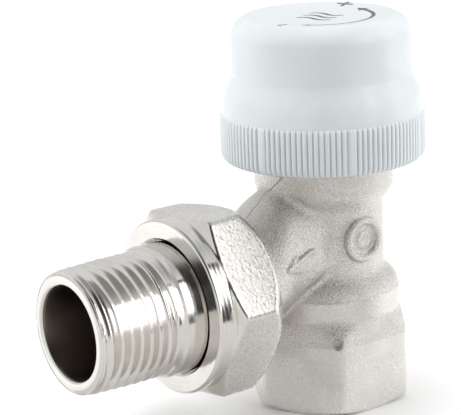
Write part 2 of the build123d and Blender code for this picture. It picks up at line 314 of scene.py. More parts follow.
def thread(start, end, crest, root, pitch, origin, columns, fade=(0.0, 0.0), limit=None):
    """Stations of a right-hand thread, skewed so that each follows the helix and meets itself a turn later.

    crest is a radius, with root another radius, or a function of height, with root the thread's depth.
    """
    sizes = bpy.context.scene.valve_threads
    flat, floor = sizes.crest / 2, 0.5 - sizes.root / 2
    slope = np.linspace(flat, floor, 6)
    spots = np.concatenate([[0], slope, [0.5], 1 - slope[::-1]])
    first = math.floor((start - origin) / pitch) - 2
    last = math.ceil((end - origin) / pitch) + 1
    along = np.concatenate([n + spots for n in range(first, last + 1)])
    depth = np.clip((np.minimum(along % 1, 1 - along % 1) - flat) / (floor - flat), 0, 1)
    turn = np.arange(columns + 1) / columns
    height = origin + (along[:, None] + turn[None, :]) * pitch
    height = np.clip(height, start, end)
    strength = np.ones_like(height)
    if fade[0]:
        strength *= np.clip((height - start) / fade[0], 0, 1)
    if fade[1]:
        strength *= np.clip((end - height) / fade[1], 0, 1)
    top = crest(height) if callable(crest) else np.full_like(height, crest)
    radius = top - (top - root if not callable(crest) else root) * depth[:, None] * strength
    ends = (height <= start) | (height >= end)
    radius = np.where(ends, top, radius)
    if limit is not None:
        radius = np.minimum(radius, limit(height))
    return height, radius


def spin(name, stations, columns, place=UP_AXIS, angles=None):
    """A turned solid through its stations, in order; the last joins the first."""
    heights = np.concatenate([s[0] for s in stations])
    radii = np.concatenate([s[1] for s in stations])
    if angles is None:
        angles = np.arange(columns + 1) * 2 * math.pi / columns
    angles = np.array(angles)
    cosine, sine = np.cos(angles), np.sin(angles)
    cosine[-1], sine[-1] = cosine[0], sine[0]
    points = np.stack([radii * cosine, radii * sine, heights], axis=-1).reshape(-1, 3)
    rows, wide = heights.shape
    faces = []
    for row in range(rows):
        low, high = row * wide, (row + 1) % rows * wide
        faces += [(low + i, low + i + 1, high + i + 1, high + i) for i in range(wide - 1)]
    return mesh_object(name, points, faces, place)


# ---- forged skins


def melt(a, b, blend):
    """Joins two shapes with a soft fillet."""
    mix = np.clip(0.5 + 0.5 * (b - a) / blend, 0, 1)
    return b + (a - b) * mix - blend * mix * (1 - mix)


def meet(a, b, blend):
    """Keeps what two shapes share, with a soft edge."""
    return -melt(-a, -b, blend)


def ease(low, high, value):
    """0 below low, 1 above high, and a smooth climb between."""
    share = np.clip((value - low) / (high - low), 0, 1)
    return share * share * (3 - 2 * share)


def hexagon_skin(a, b, flats, turn, blend):
    """How far a point lies outside a hexagon with soft corners; turn is the angle of one flat's normal."""
    shape = None
    for side in range(3):
        angle = math.radians(turn + 60 * side)
        wall = np.abs(a * math.cos(angle) + b * math.sin(angle))
        shape = wall if shape is None else meet(shape, wall, blend)
    return shape - flats / 2


def rod_skin(point, start, end, radius):
    """How far a point lies outside a round bar between two points."""
    line = np.array(end, float) - np.array(start, float)
    offset = [p - s for p, s in zip(point, start)]
    share = sum(o * c for o, c in zip(offset, line)) / float(line @ line)
    share = np.clip(share, 0, 1)
    return np.sqrt(sum((o - c * share) ** 2 for o, c in zip(offset, line))) - radius


def skin_points(field, low, high, step):
    """Grid cells that the skin passes through, a point in each, and the grid's inside flags."""
    axes = [np.arange(a, b + step, step, dtype=np.float32) for a, b in zip(low, high)]
    value = field(*np.meshgrid(*axes, indexing="ij"))
    solid = value < 0
    count = np.zeros([n - 1 for n in solid.shape], np.int8)
    for i in (0, 1):
        for j in (0, 1):
            for k in (0, 1):
                count += solid[i : i + count.shape[0], j : j + count.shape[1], k : k + count.shape[2]]
    cells = np.argwhere((count > 0) & (count < 8))
    total, hits = np.zeros((len(cells), 3)), np.zeros((len(cells), 1))
    for axis in range(3):
        for i in (0, 1):
            for j in (0, 1):
                corner = cells + np.roll([0, i, j], axis)
                reach = corner + np.roll([1, 0, 0], axis)
                a, b = value[tuple(corner.T)], value[tuple(reach.T)]
                cross = (a < 0) != (b < 0)
                share = a[cross] / (a[cross] - b[cross])
                total[cross] += corner[cross] + share[:, None] * (reach - corner)[cross]
                hits[cross] += 1
    return cells, np.array(low) + step * total / hits, solid


def skin(name, field, low, high, step, place=UP_AXIS):
    """A closed mesh on the surface where the field is zero."""
    cells, points, solid = skin_points(field, low, high, step)
    number = np.full([n - 1 for n in solid.shape], -1, np.int64)
    number[tuple(cells.T)] = np.arange(len(cells))
    reach = 0.01
    for _ in range(6):
        here = field(*points.T)
        rise = [field(*(points + d).T) - field(*(points - d).T) for d in np.eye(3) * reach]
        slope = np.stack([r / (2 * reach) for r in rise], 1)
        shift = here[:, None] * slope / np.maximum((slope**2).sum(1, keepdims=True), 0.05)
        points = points - np.clip(shift, -0.4 * step, 0.4 * step)
    faces = []
    for axis in range(3):
        solid_here = np.moveaxis(solid, axis, 0)
        spots = np.argwhere(solid_here[:-1] != solid_here[1:])
        outward = solid_here[tuple(spots.T)]
        order = [axis] + [k for k in range(3) if k != axis]
        at = np.zeros_like(spots)
        for column, k in enumerate(order):
            at[:, k] = spots[:, column]
        side, rise = np.eye(3, dtype=int)[(axis + 1) % 3], np.eye(3, dtype=int)[(axis + 2) % 3]
        corners = [number[tuple((at - move).T)] for move in (0 * side, side, side + rise, rise)]
        square = np.stack(corners, 1)
        square[~outward] = square[~outward][:, ::-1]
        faces += square.tolist()
    return mesh_object(name, points, faces, place)


# ---- materials


def wire(tree, kind, settings=None, **inputs):
    """Adds a node, sets its fields and its sockets; a socket's value may be another node's output."""
    node = tree.nodes.new(kind)
    for field, value in (settings or {}).items():
        setattr(node, field, value)
    for socket, value in inputs.items():
        key = int(socket[1:]) if socket[1:].isdigit() else socket.replace("_", " ")
        target = node.inputs[key]
        if isinstance(value, bpy.types.NodeSocket):
            tree.links.new(value, target)
        else:
            target.default_value = value
    return node


def sums(tree, operation, first, second=0.0, third=0.0):
    """One arithmetic step."""
    return wire(tree, "ShaderNodeMath", {"operation": operation}, i0=first, i1=second, i2=third).outputs[0]


def band(tree, value, low, high, start=0.0, end=1.0):
    """A smooth climb from start to end while value goes from low to high."""
    settings = {"interpolation_type": "SMOOTHSTEP"}
    node = wire(tree, "ShaderNodeMapRange", settings, Value=value)
    for name, number in (("From Min", low), ("From Max", high), ("To Min", start), ("To Max", end)):
        node.inputs[name].default_value = number
    return node.outputs[0]


def blend_colours(tree, share, first, second):
    """Mixes two colours."""
    node = wire(tree, "ShaderNodeMix", {"data_type": "RGBA"})
    for socket, value in zip((node.inputs[0], node.inputs[6], node.inputs[7]), (share, first, second)):
        if isinstance(value, bpy.types.NodeSocket):
            tree.links.new(value, socket)
        elif isinstance(value, (int, float)):
            socket.default_value = value
        else:
            socket.default_value = (*value, 1.0) if len(value) == 3 else value
    return node.outputs[2]


def effect(name, scale, outputs):
    """An empty node group with a vector and a scale; gives it, those two sockets and its output node."""
    group = bpy.data.node_groups.new(name, "ShaderNodeTree")
    group.interface.new_socket(name="Vector", in_out="INPUT", socket_type="NodeSocketVector")
    size = group.interface.new_socket(name="Scale", in_out="INPUT", socket_type="NodeSocketFloat")
    size.default_value = scale
    for label in outputs:
        group.interface.new_socket(name=label, in_out="OUTPUT", socket_type="NodeSocketFloat")
    source = group.nodes.new("NodeGroupInput").outputs
    return group, source["Vector"], source["Scale"], group.nodes.new("NodeGroupOutput")


def grain_effect():
    """Blasted or pickled skin: small round grains with finer noise over them."""
    group, point, scale, result = effect("Blasted grain", 3000.0, ("Height", "Pits"))
    cells = wire(group, "ShaderNodeTexVoronoi", {"feature": "SMOOTH_F1"}, Vector=point, Scale=scale)
    noise = wire(group, "ShaderNodeTexNoise", None, Vector=point, Scale=scale, Detail=3.0, Roughness=0.65)
    height = sums(group, "MULTIPLY_ADD", noise.outputs[0], 0.9, cells.outputs["Distance"])
    group.links.new(height, result.inputs["Height"])
    group.links.new(band(group, noise.outputs[0], 0.40, 0.62), result.inputs["Pits"])
    return group


def turning_effect():
    """Fine rings that a lathe leaves, round the vector's Z axis, on walls and end faces alike."""
    group, point, scale, result = effect("Turning marks", 2500.0, ("Height", "Streaks"))
    split = wire(group, "ShaderNodeSeparateXYZ", None, Vector=point)
    across = wire(group, "ShaderNodeCombineXYZ", None, X=split.outputs[0], Y=split.outputs[1])
    radius = wire(group, "ShaderNodeVectorMath", {"operation": "LENGTH"}, i0=across.outputs[0])
    along = sums(group, "ADD", split.outputs[2], radius.outputs["Value"])
    settings = {"noise_dimensions": "1D"}
    lines = wire(group, "ShaderNodeTexNoise", settings, W=along, Scale=scale, Detail=2.0)
    patches = wire(group, "ShaderNodeTexNoise", None, Vector=point, Scale=260.0, Detail=2.0)
    streaks = sums(group, "MULTIPLY", lines.outputs[0], patches.outputs[0])
    group.links.new(lines.outputs[0], result.inputs["Height"])
    group.links.new(band(group, streaks, 0.14, 0.38), result.inputs["Streaks"])
    return group


def tarnish_effect():
    """Slow cloudy changes of tone, as handling and plating leave."""
    group, point, scale, result = effect("Cloudy tone", 120.0, ("Cloud",))
    noise = wire(group, "ShaderNodeTexNoise", None, Vector=point, Scale=scale, Detail=4.0, Roughness=0.55)
    group.links.new(band(group, noise.outputs[0], 0.36, 0.66), result.inputs["Cloud"])
    return group


def shared_effect(name):
    """The named effect, built the first time that a material asks for it."""
    makers = {"Blasted grain": grain_effect, "Turning marks": turning_effect, "Cloudy tone": tarnish_effect}
    return bpy.data.node_groups.get(name) or makers[name]()


def place_effect(tree, name, vector, scale):
    """Puts a shared effect into a material."""
    node = tree.nodes.new("ShaderNodeGroup")
    node.node_tree = shared_effect(name)
    tree.links.new(vector, node.inputs["Vector"])
    node.inputs["Scale"].default_value = scale
    return node.outputs


def new_material(name, **sockets):
    """A material with a Principled shader; gives it, its tree, its shader and the piece's own coordinates."""
    material = bpy.data.materials.new(name)
    material.use_nodes = True
    tree = material.node_tree
    tree.nodes.clear()
    shader = wire(tree, "ShaderNodeBsdfPrincipled", None, **sockets)
    output = tree.nodes.new("ShaderNodeOutputMaterial")
    tree.links.new(shader.outputs[0], output.inputs[0])
    point = tree.nodes.new("ShaderNodeTexCoord").outputs["Object"]
    return material, tree, shader, point


def cover(tree, shader, tone, mask, low, high):
    """Feeds the shader its colour, and a roughness from low to high as the mask grows."""
    tree.links.new(tone, shader.inputs["Base Color"])
    tree.links.new(band(tree, mask, 0.0, 1.0, low, high), shader.inputs["Roughness"])


def bumped(tree, shader, height, distance, strength=1.0):
    """Feeds a height into the shader's normal."""
    node = wire(tree, "ShaderNodeBump", None, Strength=strength, Distance=distance, Height=height)
    tree.links.new(node.outputs[0], shader.inputs["Normal"])


def along_outlet(tree, point):
    """The piece's coordinates with Z along the outlet's axis."""
    node = wire(tree, "ShaderNodeMapping", {"vector_type": "TEXTURE"}, Vector=point)
    node.inputs["Location"].default_value = (0, 0, outlet_height() * MM)
    node.inputs["Rotation"].default_value = outlet_axis().to_euler()
    return node.outputs[0]


def blasted_nickel():
    """Nickel plate over the blasted forging, darker in its hollows and along the parting seam."""
    sizes = bpy.context.scene.valve_forging
    material, tree, shader, point = new_material("blasted_nickel", Metallic=1.0)
    grain = place_effect(tree, "Blasted grain", point, 1.0 / sizes.grain)
    cloud = place_effect(tree, "Cloudy tone", point, 150.0)
    split = wire(tree, "ShaderNodeSeparateXYZ", None, Vector=point)
    above = sums(tree, "MAXIMUM", sums(tree, "SUBTRACT", split.outputs[2], 38.4 * MM), 0.0)
    wobble = wire(tree, "ShaderNodeTexNoise", None, Vector=point, Scale=330.0, Detail=1.0)
    off_seam = sums(tree, "MULTIPLY_ADD", above, 0.96, split.outputs[1])
    off_seam = sums(tree, "MULTIPLY_ADD", sums(tree, "SUBTRACT", wobble.outputs[0], 0.5), 1.6 * MM, off_seam)
    seam = band(tree, sums(tree, "ABSOLUTE", off_seam), 0.04 * MM, 0.22 * MM, 1.0, 0.0)
    darker = sums(tree, "MULTIPLY", grain["Pits"], 0.34)
    darker = sums(tree, "MULTIPLY_ADD", cloud["Cloud"], 0.10, darker)
    darker = sums(tree, "MAXIMUM", darker, sums(tree, "MULTIPLY", seam, 0.75))
    tone = blend_colours(tree, darker, tuple(sizes.colour), tuple(sizes.shade_colour))
    cover(tree, shader, tone, grain["Pits"], 0.18, 0.32)
    height = sums(tree, "MULTIPLY_ADD", seam, -2.0, grain["Height"])
    bumped(tree, shader, height, 0.12 * MM)
    return material


def plated_nickel(name, grain_size, cloud_scale, cloudy, pitted, relief, strength=1.0):
    """Nickel plate over smoother metal, with a finer or coarser grain than the blasted skin's."""
    sizes = bpy.context.scene.valve_forging
    material, tree, shader, point = new_material(name, Metallic=1.0)
    grain = place_effect(tree, "Blasted grain", point, 1.0 / (grain_size * sizes.grain))
    cloud = place_effect(tree, "Cloudy tone", point, cloud_scale)
    share = sums(tree, "MULTIPLY_ADD", cloud["Cloud"], cloudy, sums(tree, "MULTIPLY", grain["Pits"], pitted))
    tone = blend_colours(tree, share, tuple(sizes.colour), tuple(sizes.shade_colour))
    cover(tree, shader, tone, grain["Pits"], 0.24, 0.34)
    bumped(tree, shader, grain["Height"], relief * MM, strength)
    return material


def satin_nickel():
    """Nickel plate over the machined hexagon of the body."""
    return plated_nickel("satin_nickel", 0.9, 210.0, 0.10, 0.20, 0.045)


def peeled_nickel():
    """Bright nickel over the nut's forged flats, with the soft ripples of a pickled skin."""
    return plated_nickel("peeled_nickel", 2.8, 130.0, 0.12, 0.16, 0.03, 0.55)


def turned_metal(name, colour, dull, roughness, vector=None, scale=2600.0, depth=0.006):
    """Metal turned on a lathe: fine rings, faint streaks and a cloudy tone."""
    material, tree, shader, point = new_material(name, Metallic=1.0)
    axis_point = vector(tree, point) if vector else point
    marks = place_effect(tree, "Turning marks", axis_point, scale)
    cloud = place_effect(tree, "Cloudy tone", point, 170.0)
    share = sums(tree, "MULTIPLY_ADD", cloud["Cloud"], 0.14, sums(tree, "MULTIPLY", marks["Streaks"], 0.10))
    cover(tree, shader, blend_colours(tree, share, colour, dull), marks["Streaks"], *roughness)
    bumped(tree, shader, marks["Height"], depth * MM)
    return material


def moulded_plastic():
    """Glossy moulded plastic with a barely uneven skin."""
    sizes = bpy.context.scene.valve_cap
    sockets = {"Specular_IOR_Level": 0.35, "IOR": 1.5}
    material, tree, shader, point = new_material("moulded_plastic", **sockets)
    cloud = place_effect(tree, "Cloudy tone", point, 90.0)
    grain = place_effect(tree, "Blasted grain", point, 1.0 / (0.9 * MM))
    colour = tuple(sizes.colour)
    dimmer = tuple(c * 0.965 for c in colour)
    cover(tree, shader, blend_colours(tree, cloud["Cloud"], colour, dimmer), cloud["Cloud"], 0.20, 0.27)
    bumped(tree, shader, grain["Height"], 0.004 * MM)
    return material


def printed_ink():
    """Pad-printed ink: nearly matt, a little patchy."""
    colour = tuple(bpy.context.scene.valve_cap.print_colour)
    material, tree, shader, point = new_material("printed_ink")
    cloud = place_effect(tree, "Cloudy tone", point, 900.0)
    paler = tuple(min(1.0, c + 0.08) for c in colour)
    cover(tree, shader, blend_colours(tree, cloud["Cloud"], colour, paler), cloud["Cloud"], 0.42, 0.55)
    return material


def moulded_rubber():
    """Black rubber of the seals."""
    material, tree, shader, point = new_material("moulded_rubber")
    grain = place_effect(tree, "Blasted grain", point, 1.0 / (0.25 * MM))
    tone = blend_colours(tree, grain["Pits"], (0.022, 0.022, 0.023), (0.04, 0.04, 0.041))
    cover(tree, shader, tone, grain["Pits"], 0.52, 0.66)
    bumped(tree, shader, grain["Height"], 0.01 * MM)
    return material


def turned_nickel(upright=True):
    """Bright nickel over turned brass, with its rings round the body's axis or the union's."""
    name = "turned_nickel" if upright else "union_nickel"
    vector = None if upright else along_outlet
    colour = tuple(bpy.context.scene.valve_forging.colour)
    return turned_metal(name, colour, (0.46, 0.42, 0.38), (0.10, 0.17), vector)


def bore_nickel():
    """The tailpiece's bore, which plating reaches less: dull, with painted shade that makes it dark brown
    inside the tube.
    """
    return turned_metal("bore_nickel", (0.20, 0.17, 0.15), (0.08, 0.065, 0.055), (0.30, 0.42), along_outlet)


# ---- pieces


def branch_field(x, y, z):
    """The branch: round behind the nut, an upright oval at its root in the neck, and cut back below."""
    share = ease(11.6, 18.5, -x)
    middle = 27.4 + (outlet_height() - 27.4) * share
    width = 8.9 + 2.4 * share
    height = 11.35 - 0.05 * share
    ratio = np.sqrt((y / width) ** 2 + ((z - middle) / height) ** 2)
    branch = (ratio - 1) * 0.5 * (width + height)
    underside = 0.292 * (x + 9.76) + 0.665 * (np.abs(y) - 8.17) - 0.688 * (z - 23.47)
    branch = meet(branch, underside, 1.1)
    branch = meet(branch, x + 5.6, 2.5)
    return np.maximum(branch, -21.2 - x)


def body_field(x, y, z):
    """The forging's outside before anything is cut: hexagon foot, band, shoulder, neck, collar and branch."""
    radius = np.hypot(x, y)
    foot = hexagon_skin(x, y, FOOT_FLATS, 30, 0.9)
    foot = meet(foot, (radius - 14.66) * 0.841 + (z - 13.3) * 0.541, 0.6)
    foot = meet(foot, -rod_skin((x, y, z), (-7.75, -12.1, 13.3), (-7.7, -12.0, 13.4), 0.95), 0.3)
    foot = meet(foot, (radius - 12.66) * 0.447 - z * 0.894, 0.3)
    foot = np.maximum(np.maximum(foot, -z), z - 17)
    band_skin = np.maximum(np.maximum(radius - BAND_R, z - BAND_TOP), 10 - z)
    shape = melt(foot, band_skin, 0.5)
    out, up = radius - (SHOULDER_R - SHOULDER_BEND), z - (SHOULDER_TOP - SHOULDER_BEND)
    shoulder = np.hypot(np.maximum(out, 0), np.maximum(up, 0)) + np.minimum(np.maximum(out, up), 0)
    shoulder = shoulder - SHOULDER_BEND
    shoulder = np.maximum(shoulder, 12 - z)
    column = radius - NECK_R - COLLAR_STEP * ease(34.6, 38.6, z)
    column = np.maximum(np.maximum(column * 0.95, z - HEAD_START), 15 - z)
    column = melt(shoulder, column, 1.8)
    branch = branch_field(x, y, z)
    upper = melt(column, branch, 1.3)
    upper = melt(upper, marks_field(x, y, z), 0.35)
    upper = np.where(z > BAND_TOP, upper, np.maximum(upper, 0.25))
    return np.minimum(melt(shape, branch, 0.8), upper)


def marks_field(x, y, z):
    """The raised flow arrow on the branch and the round field on the neck, with a plain bead in it."""
    point = (x, y, z)
    arrow = rod_skin(point, ARROW[0], ARROW[1], 0.5)
    for barb in ARROW[2:]:
        arrow = np.minimum(arrow, rod_skin(point, ARROW[1], barb, 0.45))
    up = z - EMBLEM_HEIGHT
    across = np.hypot(x, up)
    disc = np.maximum(np.maximum(across - 3.5, -EMBLEM_DEPTH - y), y)
    rim = np.hypot(across - 3.25, y + EMBLEM_DEPTH) - 0.7
    emblem = np.maximum(hexagon_skin(x, up, 2.9, 30, 0.5), np.abs(y + EMBLEM_DEPTH) - 0.3)
    shape = melt(disc, rim, 0.3)
    return np.minimum(melt(shape, emblem, 0.3), arrow)


def add_body():
    """The forged body, with its two outside threads, its socket thread and its bores."""
    sizes = bpy.context.scene.valve_forging
    columns = bpy.context.scene.valve_threads.columns
    low, high = cad_box("valve_body")
    head_r, head_top, face = high.x, high.z, -low.x
    step = sizes.grid / MM
    piece = skin("forged_body", body_field, (-22, -15.2, -0.6), (15.2, 15.2, 45), step)

    def head_lead(height):
        return np.minimum(head_r, 15 + head_top - 0.75 - height)

    def union_lead(height):
        return np.minimum(UNION_THREAD_R, UNION_THREAD_R - (height - (face - 0.9)))

    def turned(name, rows, operation, place=UP_AXIS):
        stations = [rings(row, columns) if isinstance(row, list) else row for row in rows]
        return combine(piece, spin(name, stations, columns, place), operation)

    first = HEAD_START + 0.1
    root = head_r - 0.92
    screw = thread(first, head_top, head_r, root, CAP_PITCH, HEAD_START, columns, (1.0, 0), head_lead)
    neck = [(40, 0), (40, 11.9), (HEAD_START, 11.9), (HEAD_START, 14.1)]
    turned("head", [neck, [(HEAD_START, head_r), (first, head_r)], screw, [(head_top, 0)]], "UNION")
    screw = thread(21.4, face, UNION_THREAD_R, 12.06, PIPE_PITCH, UNION_START, columns, (0.9, 0), union_lead)
    stub = [(19.5, 0), (19.5, 11.0), (20.9, 11.0), (20.9, 12.9), (21.2, UNION_THREAD_R)]
    turned("union_stub", [stub, screw, [(face, 0)]], "UNION", outlet_axis())

    mouth = [(-1, 0), (-1, 11.3), (0, 10.9), (0.45, SOCKET_THREAD_R)]
    screw = thread(0.45, 12.4, SOCKET_THREAD_R, 9.32, PIPE_PITCH, 0.0, columns)
    deep = [(12.6, 9.9), (12.6, 7.0), (14.2, 7.0), (15.2, 5.5), (22, 5.5), (22, 0)]
    turned("socket_cut", [mouth, screw, deep], "DIFFERENCE")
    chamber = [(17.2, 0), (17.2, 6.3), (16.0, 6.8), (16.0, CHAMBER_R), (36.4, CHAMBER_R), (37.2, 9.06)]
    chamber += [(44.8, 9.06), (44.8, 11.0), (51.5, 11.0), (51.5, 0)]
    turned("chamber_cut", [chamber], "DIFFERENCE")
    outlet = [(3, 0), (3, 4.6), (17.0, 4.6), (20.0, 7.55), (24.6, 7.55), (24.6, 10.3)]
    outlet += [(face - 0.3, 10.3), (face + 0.2, 10.8), (face + 1, 10.8), (face + 1, 0)]
    turned("outlet_cut", [outlet], "DIFFERENCE", outlet_axis())
    smooth(piece, 30)

    def finish(x, y, z):
        radius = np.hypot(x, y)
        on_cone = (z > 12.2) & (z < 16.6) & (radius > 12.78)
        kind = np.where((z > 20.05) | on_cone | (branch_field(x, y, z) < 0.35) & (x < -9), 0, 1)
        kind = np.where((x < -20.9) | (z > 44.4), 2, kind)
        return np.where((radius < 11.4) & (z < 13), 2, kind)

    paint(piece, [blasted_nickel(), satin_nickel(), turned_nickel()], finish)
    install(piece, "root", "valve_body")


def nut_field(x, y, z):
    """The nut's outside: a hexagon between two chamfer cones, and its turned boss."""
    out = -x
    rise = z - outlet_height()
    radius = np.hypot(y, rise)
    shape = hexagon_skin(y, rise, NUT_FLATS, NUT_TURN, 0.7)
    shape = meet(shape, (out - 29.95) * 0.937 + (radius - NUT_CORNER_R) * 0.350, 0.5)
    shape = meet(shape, (24.0 - out) * 0.630 + (radius - NUT_CORNER_R) * 0.776, 0.5)
    shape = np.maximum(np.maximum(shape, 21.5 - out), out - 31.6)
    boss = meet(radius - NUT_BOSS_R, out - 33.7, 0.5)
    boss = np.maximum(boss, 25 - out)
    return melt(shape, boss, 0.2)


def add_nut():
    """The union nut, with its inside thread and the lip that holds the tailpiece."""
    columns = bpy.context.scene.valve_threads.columns
    low, high = cad_box("union_nut")
    start, front = -high.x, -low.x
    step = 0.64 * bpy.context.scene.valve_forging.grid / MM
    piece = skin("union_nut_forged", nut_field, (-front - 0.5, -17.6, 5), (-start + 0.5, 17.6, 41), step)
    mouth = [(start - 1, 0), (start - 1, 14.1), (start, 14.1), (start + 0.8, NUT_THREAD_R)]
    inside = thread(start + 0.8, 29.3, NUT_THREAD_R, 12.12, PIPE_PITCH, UNION_START, columns)
    deep = [(31.05, NUT_THREAD_R), (31.05, 11.3), (front - 0.35, 11.3), (front, 11.65)]
    deep += [(front + 1, 11.65), (front + 1, 0)]
    stations = [rings(mouth, columns), inside, rings(deep, columns)]
    piece = combine(piece, spin("nut_cut", stations, columns, outlet_axis()), "DIFFERENCE")
    smooth(piece, 30)
    height = outlet_height()

    def finish(x, y, z):
        radius = np.hypot(y, z - height)
        normals = np.empty(len(piece.data.polygons) * 3)
        piece.data.polygons.foreach_get("normal", normals)
        facing = np.abs(normals.reshape(-1, 3)[:, 0])
        flats = (facing < 0.5) & (radius > 14.66)
        return np.where(flats, 0, 1)

    paint(piece, [peeled_nickel(), turned_nickel(False)], finish)
    install(piece, "nut", "union_nut")


def add_tail():
    """The tailpiece: nose, flange, smooth shank, tapered pipe thread and bore."""
    columns = bpy.context.scene.valve_threads.columns
    low, high = cad_box("tailpiece")
    nose, end = -high.x, -low.x

    def crest(height):
        return 10.22 + (end - height) / 32

    def lead(height):
        return TAIL_THREAD_R - 0.5 * ease(end - 1.3, end - 0.25, height)

    screw = thread(38.2, end - 0.25, crest, 1.16, PIPE_PITCH, end - 3.17, columns, (1.2, 2.6), lead)
    outside = [(nose, 7.6), (nose, 9.6), (nose + 0.5, TAIL_NOSE_R), (nose + 1.1, TAIL_NOSE_R)]
    outside += [(nose + 1.1, 8.92), (nose + 2.6, 8.92), (nose + 2.6, TAIL_NOSE_R), (29.05, TAIL_NOSE_R)]
    outside += [(29.05, 11.95), (30.8, 11.95), (31.0, 11.75), (31.0, 11.0), (37.2, 11.0), (37.6, 10.55)]
    outside += [(38.2, TAIL_THREAD_R)]
    mouth = arc(end - 0.7, 9.2, 0.7, 20, 90, 6)
    mouth += [(end, 8.3), (end - 0.2, 7.95), (end - 0.6, 7.72), (nose + 1.0, TAIL_BORE_R), (nose + 0.3, 7.6)]
    stations = [rings(outside, columns), screw, rings(mouth, columns)]
    piece = spin("tailpiece_turned", stations, columns, outlet_axis())
    smooth(piece, 40)
    height = outlet_height()

    def finish(x, y, z):
        radius = np.hypot(y, z - height)
        return np.where(radius < 7.9, 1, 0)

    # Faces inside the bore take the material with painted shade, dark brown for the shade inside the tube.
    paint(piece, [turned_nickel(False), bore_nickel()], finish)
    install(piece, "tail", "tailpiece")


def rib_angles(sizes):
    """Directions round the cap and how far each stands out: 0 in a groove, 1 on a rib or pad."""
    share = np.array([0.0, 0.62, 0.93, 1.0, 1.0, 0.93, 0.62, 0.0])
    spots = np.array([0.0, 0.09, 0.2, 0.36, 0.56, 0.72, 0.83, 0.92])
    group = 360 / sizes.groups
    pitch = 3.06 * 15 / sizes.ribs
    pad = group - sizes.ribs * pitch
    angles, proud = [], []
    for number in range(sizes.groups):
        start = -113.4 + pad / 2 + number * group
        for rib in range(sizes.ribs):
            angles += list(start + (rib + spots) * pitch)
            proud += list(share)
        rest = start + sizes.ribs * pitch
        angles += list(rest + pad * np.linspace(0, 0.93, 8))
        proud += [0.0, 0.7, 1.0, 1.0, 1.0, 1.0, 1.0, 0.7]
    return np.radians(np.array(angles + [angles[0] + 360])), np.array(proud + [proud[0]])


def add_cap():
    """The cap's shell, with ribs, shoulder and crown outside and its screw thread inside."""
    sizes = bpy.context.scene.valve_cap
    low, high = cad_box("cap_shell")
    disc_low, disc_high = cad_box("cap_thrust_disc")
    rim, top, rib_r = low.z, high.z - 0.03, high.x
    angles, proud = rib_angles(sizes)
    columns = len(angles) - 1
    bend = CAP_CORNER_BEND
    crown = [(top - d, r) for r, d in CROWN_DISH]
    crown += arc(top - bend, 15.28 - bend, bend, 90, 0, 14)
    wall = [(62.0, 15.36), (58.4, 15.43), (57.75, 15.46), (57.45, 15.52), (57.2, 15.62), (56.5, 15.85)]
    wall += [(55.4, 16.35), (54.4, 16.72), (53.4, 16.92), (52.2, 17.1)]
    outside = rings(crown + wall, columns)
    grip = [(51.3, 0.0), (51.05, 0.0), (50.85, 0.55), (50.55, 1.0), (48, 1.0), (45.6, 1.0), (44.4, 1.0)]
    rows = [(height, CAP_GRIP_R, proud_share) for height, proud_share in grip]
    rows += [(43.9, 17.14, 0.95), (43.5, 17.0, 0.85), (43.2, 16.8, 0.6)]
    rows += [(rim + 0.05, 16.55, 0.3), (rim, 16.3, 0.0)]
    height = np.array([[r[0]] * (columns + 1) for r in rows])
    radius = np.array([r[1] + (rib_r - CAP_GRIP_R) * r[2] * proud for r in rows])
    mouth = rings([(rim, 15.6), (rim + 0.5, 15.1)], columns)
    screw = thread(rim + 0.8, 51.5, CAP_THREAD_R, 14.15, CAP_PITCH, HEAD_START, columns, (0.5, 0.5))
    ceiling, boss, button = top - 2.5, disc_low.z + 1.65, disc_high.z + 0.02
    inside = [(53.4, CAP_THREAD_R), (54.4, 13.4), (ceiling - 1, 13.4), (ceiling, 12.4), (ceiling, 4.5)]
    inside = rings(inside + [(boss, 4.5), (boss, 1.52), (button, 1.52), (button, 0)], columns)
    piece = spin("cap_moulded", [outside, [height, radius], mouth, screw, inside], columns, angles=angles)
    smooth(piece, 38)
    paint(piece, [moulded_plastic()])
    install(piece, "cap", "cap_shell")
    add_print(high.z)


def ribbon(points, widths):
    """Outline of a stroke of changing width along points in a plane."""
    points = np.array(points, float)
    way = np.gradient(points, axis=0)
    way /= np.linalg.norm(way, axis=1, keepdims=True)
    across = np.stack([-way[:, 1], way[:, 0]], 1) * (np.array(widths)[:, None] / 2)
    return np.concatenate([points + across, (points - across)[::-1]])


